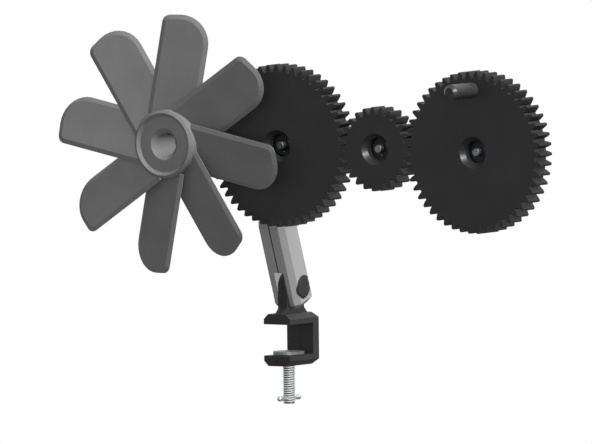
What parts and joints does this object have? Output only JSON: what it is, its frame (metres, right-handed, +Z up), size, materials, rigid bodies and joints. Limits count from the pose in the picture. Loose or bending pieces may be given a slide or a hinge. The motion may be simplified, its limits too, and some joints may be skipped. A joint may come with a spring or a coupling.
{
  "type": "mechanical desk fan",
  "caption": "Hand cranked desk fan: a crank turns a gear train that spins a bladed rotor, held on a folding arm with a screw clamp for the edge of a desk.",
  "frame": {"origin": "centre of the upper jaw's underside, where the desk top touches the clamp", "axes": "+Z up, +X along the gear train towards the crank, -Y the way the fan and the clamp mouth face"},
  "size_m": [0.5398, 0.128, 0.3759],
  "materials": {
    "black_plastic": "moulded, fine satin",
    "grey_plastic": "moulded, fine satin",
    "pale_plastic": "moulded, fine satin",
    "steel": "turned",
    "black_steel": "ground, black oxide",
    "zinc": "zinc plated",
    "brass": "turned",
    "seal_rubber": "matte"
  },
  "bodies": {
    "clamp": {"clamp_body": "black_plastic", "clamp_insert": "brass"},
    "pad": {"clamp_pad": "zinc"},
    "screw": {"clamp_screw": "zinc"},
    "tommy": {"tommy_bar": "zinc", "tommy_knobs": "zinc"},
    "arm": {"arm_left_half": "pale_plastic", "arm_right_half": "pale_plastic", "arm_screws": "steel", "lower_pivot_bolt": "steel", "lower_pivot_nut": "steel", "lower_pivot_caps": "black_plastic", "lower_friction_washers": "steel", "upper_pivot_pin": "steel", "upper_friction_washers": "steel"},
    "head": {"neck": "pale_plastic", "gear_frame": "pale_plastic", "frame_screws": "steel", "frame_nuts": "steel", "crank_axle": "steel", "idler_axle": "steel", "transfer_axle": "steel", "fan_axle": "steel", "axle_washers": "steel", "axle_nuts": "steel", "crank_bearing_inner": "black_steel", "idler_bearing_inner": "black_steel", "transfer_bearing_inner": "black_steel", "fan_bearing_inner": "black_steel"},
    "crank_wheel": {"crank_gear": "black_plastic", "crank_bearing_outer": "black_steel", "crank_bearing_seals": "seal_rubber", "crank_pin": "steel", "crank_pin_nut": "steel"},
    "handle": {"handle_sleeve": "black_plastic", "handle_plug": "black_plastic"},
    "idler_wheel": {"idler_gear": "black_plastic", "idler_bearing_outer": "black_steel", "idler_bearing_seals": "seal_rubber"},
    "transfer_wheel": {"transfer_gear": "black_plastic", "transfer_bearing_outer": "black_steel", "transfer_bearing_seals": "seal_rubber"},
    "fan_wheel": {"fan_rotor": "grey_plastic", "fan_bearing_outer": "black_steel", "fan_bearing_seals": "seal_rubber"},
    "crank_balls": {"crank_bearing_balls": "zinc", "crank_bearing_cage": "brass"},
    "idler_balls": {"idler_bearing_balls": "zinc", "idler_bearing_cage": "brass"},
    "transfer_balls": {"transfer_bearing_balls": "zinc", "transfer_bearing_cage": "brass"},
    "fan_balls": {"fan_bearing_balls": "zinc", "fan_bearing_cage": "brass"}
  },
  "joints": [
    {"name": "pad_lift", "type": "slide", "parent": "clamp", "child": "pad", "axis": [0, 0, 1], "range_m": [0, 0.025]},
    {"name": "screw_turn", "type": "hinge", "parent": "pad", "child": "screw", "pos_m": [0, 0, 0], "axis": [0, 0, 1], "continuous": true},
    {"name": "tommy_slide", "type": "slide", "parent": "screw", "child": "tommy", "axis": [0, 1, 0], "range_m": [-0.007, 0.007]},
    {"name": "arm_tilt", "type": "hinge", "parent": "clamp", "child": "arm", "pos_m": [0, 0.005, 0.035], "axis": [1, 0, 0], "range_deg": [-50, 15]},
    {"name": "head_tilt", "type": "hinge", "parent": "arm", "child": "head", "pos_m": [0, -0.01723, 0.09608], "axis": [1, 0, 0], "range_deg": [-19, 18]},
    {"name": "crank_turn", "type": "hinge", "parent": "head", "child": "crank_wheel", "pos_m": [0.2531, 0, 0.1748], "axis": [0, 1, 0], "continuous": true},
    {"name": "idler_turn", "type": "hinge", "parent": "head", "child": "idler_wheel", "pos_m": [0.1406, 0, 0.1748], "axis": [0, 1, 0], "continuous": true},
    {"name": "transfer_turn", "type": "hinge", "parent": "head", "child": "transfer_wheel", "pos_m": [0.0281, 0, 0.1748], "axis": [0, 1, 0], "continuous": true},
    {"name": "fan_turn", "type": "hinge", "parent": "head", "child": "fan_wheel", "pos_m": [-0.0844, 0, 0.1748], "axis": [0, 1, 0], "continuous": true},
    {"name": "handle_spin", "type": "hinge", "parent": "crank_wheel", "child": "handle", "pos_m": [0.2531, 0, 0.2348], "axis": [0, 1, 0], "continuous": true},
    {"name": "crank_ball_drift", "type": "hinge", "parent": "head", "child": "crank_balls", "pos_m": [0.2531, 0, 0.1748], "axis": [0, 1, 0], "continuous": true},
    {"name": "idler_ball_drift", "type": "hinge", "parent": "head", "child": "idler_balls", "pos_m": [0.1406, 0, 0.1748], "axis": [0, 1, 0], "continuous": true},
    {"name": "transfer_ball_drift", "type": "hinge", "parent": "head", "child": "transfer_balls", "pos_m": [0.0281, 0, 0.1748], "axis": [0, 1, 0], "continuous": true},
    {"name": "fan_ball_drift", "type": "hinge", "parent": "head", "child": "fan_balls", "pos_m": [-0.0844, 0, 0.1748], "axis": [0, 1, 0], "continuous": true}
  ],
  "couplings": [
    {"joint": "screw_turn", "follows": "pad_lift", "rad_per_m": 2856},
    {"joint": "idler_turn", "follows": "crank_turn", "ratio": -2},
    {"joint": "transfer_turn", "follows": "crank_turn", "ratio": 1},
    {"joint": "fan_turn", "follows": "crank_turn", "ratio": -2},
    {"joint": "crank_ball_drift", "follows": "crank_turn", "ratio": 0.63233},
    {"joint": "idler_ball_drift", "follows": "crank_turn", "ratio": -1.2647},
    {"joint": "transfer_ball_drift", "follows": "crank_turn", "ratio": 0.63233},
    {"joint": "fan_ball_drift", "follows": "crank_turn", "ratio": -1.2647}
  ]
}
